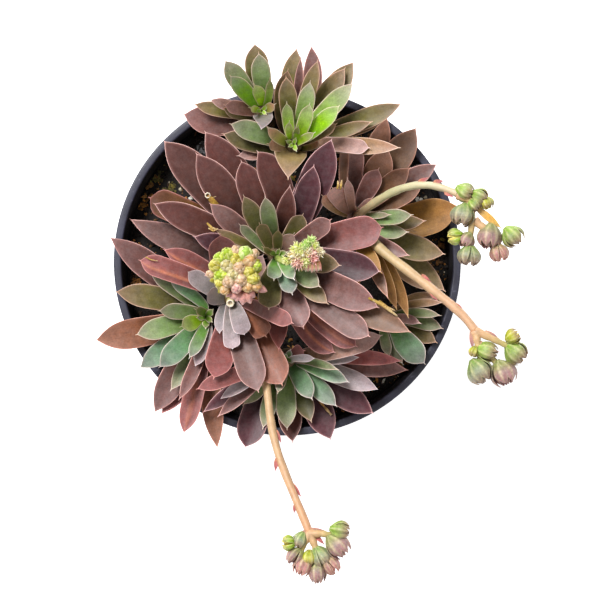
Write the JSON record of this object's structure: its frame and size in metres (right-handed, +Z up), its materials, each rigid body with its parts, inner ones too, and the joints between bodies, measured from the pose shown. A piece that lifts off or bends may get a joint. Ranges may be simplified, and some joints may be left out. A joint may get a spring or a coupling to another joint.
{
  "type": "potted echeveria",
  "caption": "Clump of echeveria rosettes with fleshy red and green leaves and arching flower stalks, in a round slate-black nursery pot.",
  "frame": {"origin": "middle of the pot's flat underside", "axes": "+Z up along the pot's axis; +X to the picture's right and +Y to its top"},
  "size_m": [0.1778, 0.2232, 0.1859],
  "materials": {
    "dried": "papery",
    "flowers": "waxy",
    "leaf_back": "waxy",
    "leaf_back_left": "waxy",
    "leaf_crown": "waxy",
    "leaf_front": "waxy",
    "leaf_front_right": "waxy",
    "leaf_left": "waxy",
    "leaf_mid_left": "waxy",
    "leaf_right": "waxy",
    "pot": "satin",
    "soil": "rough",
    "stalk": "waxy"
  },
  "bodies": {
    "root": {"dry_straw": "dried", "dry_stub": "dried", "flowers_crown": "flowers", "flowers_front": "flowers", "flowers_mid": "flowers", "flowers_right_back": "flowers", "flowers_right_long": "flowers", "leaf_back_5": "leaf_back", "leaf_back_left_1": "leaf_back_left", "leaf_back_left_4": "leaf_back_left", "leaf_crown_10": "leaf_crown", "leaf_crown_11": "leaf_crown", "leaf_crown_12": "leaf_crown", "leaf_crown_13": "leaf_crown", "leaf_crown_17": "leaf_crown", "leaf_crown_18": "leaf_crown", "leaf_crown_2": "leaf_crown", "leaf_crown_22": "leaf_crown", "leaf_crown_23": "leaf_crown", "leaf_crown_24": "leaf_crown", "leaf_crown_25": "leaf_crown", "leaf_crown_28": "leaf_crown", "leaf_crown_3": "leaf_crown", "leaf_crown_4": "leaf_crown", "leaf_crown_5": "leaf_crown", "leaf_crown_6": "leaf_crown", "leaf_front_1": "leaf_front", "leaf_front_2": "leaf_front", "leaf_front_3": "leaf_front", "leaf_front_6": "leaf_front", "leaf_front_right_4": "leaf_front_right", "leaf_left_1": "leaf_left", "leaf_left_2": "leaf_left", "leaf_left_3": "leaf_left", "leaf_left_6": "leaf_left", "leaf_mid_left_1": "leaf_mid_left", "leaf_mid_left_2": "leaf_mid_left", "leaf_mid_left_3": "leaf_mid_left", "leaf_mid_left_8": "leaf_mid_left", "leaf_right_1": "leaf_right", "leaf_right_11": "leaf_right", "leaf_right_2": "leaf_right", "leaf_right_3": "leaf_right", "leaf_right_4": "leaf_right", "pot": "pot", "rosette_back": "leaf_back", "rosette_back_left": "leaf_back_left", "rosette_crown": "leaf_crown", "rosette_front": "leaf_front", "rosette_front_right": "leaf_front_right", "rosette_left": "leaf_left", "rosette_mid_left": "leaf_mid_left", "rosette_right": "leaf_right", "soil": "soil", "stalk_crown": "stalk", "stalk_front": "stalk", "stalk_mid": "stalk", "stalk_right_back": "stalk", "stalk_right_long": "stalk"}
  },
  "joints": []
}
